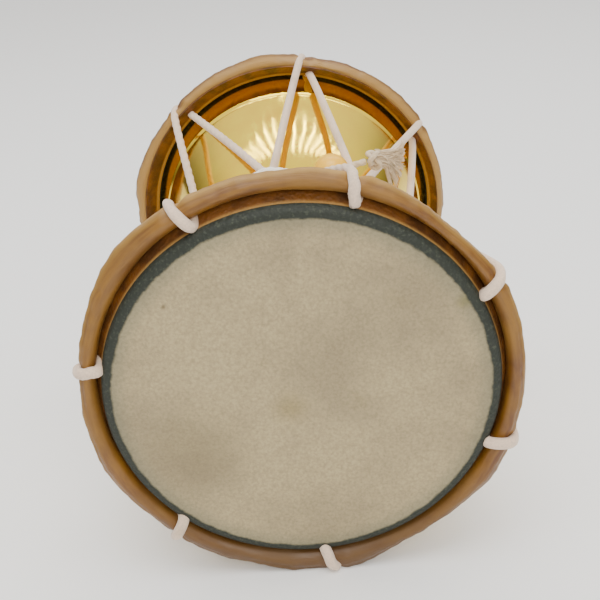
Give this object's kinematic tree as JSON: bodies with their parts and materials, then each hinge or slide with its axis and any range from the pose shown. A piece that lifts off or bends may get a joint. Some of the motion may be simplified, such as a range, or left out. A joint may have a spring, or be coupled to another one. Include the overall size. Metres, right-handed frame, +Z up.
{
  "type": "damaru drum",
  "caption": "Hourglass brass hand drum with two laced hide heads, a waist cord and a bead striker, lying on its side on its hoops.",
  "frame": {"origin": "on the ground under the middle of the drum as it lies on its side, halfway across its whole width and length", "axes": "+Z up, +Y along the drum's axis from the front head to the back head, +X to the right seen from the front head"},
  "size_m": [0.153, 0.1836, 0.1517],
  "materials": {
    "polished_brass": "polished, fine lathe lines",
    "head_hide": "matt hide with a pebbled grain and a dyed green edge",
    "rolled_hide": "rolled and dried hide, slightly waxy",
    "cotton_rope": "braided cotton, matt",
    "cotton_cord": "twisted cotton, matt",
    "cream_bead": "smooth, soft gloss"
  },
  "bodies": {
    "root": {"brass_shell": "polished_brass", "front_head": "head_hide", "back_head": "head_hide", "front_hoop": "rolled_hide", "back_hoop": "rolled_hide", "lacing_rope": "cotton_rope", "waist_cord": "cotton_cord", "striker_cord": "cotton_cord", "striker_bead": "cream_bead", "striker_tassel": "cotton_cord"}
  },
  "joints": []
}
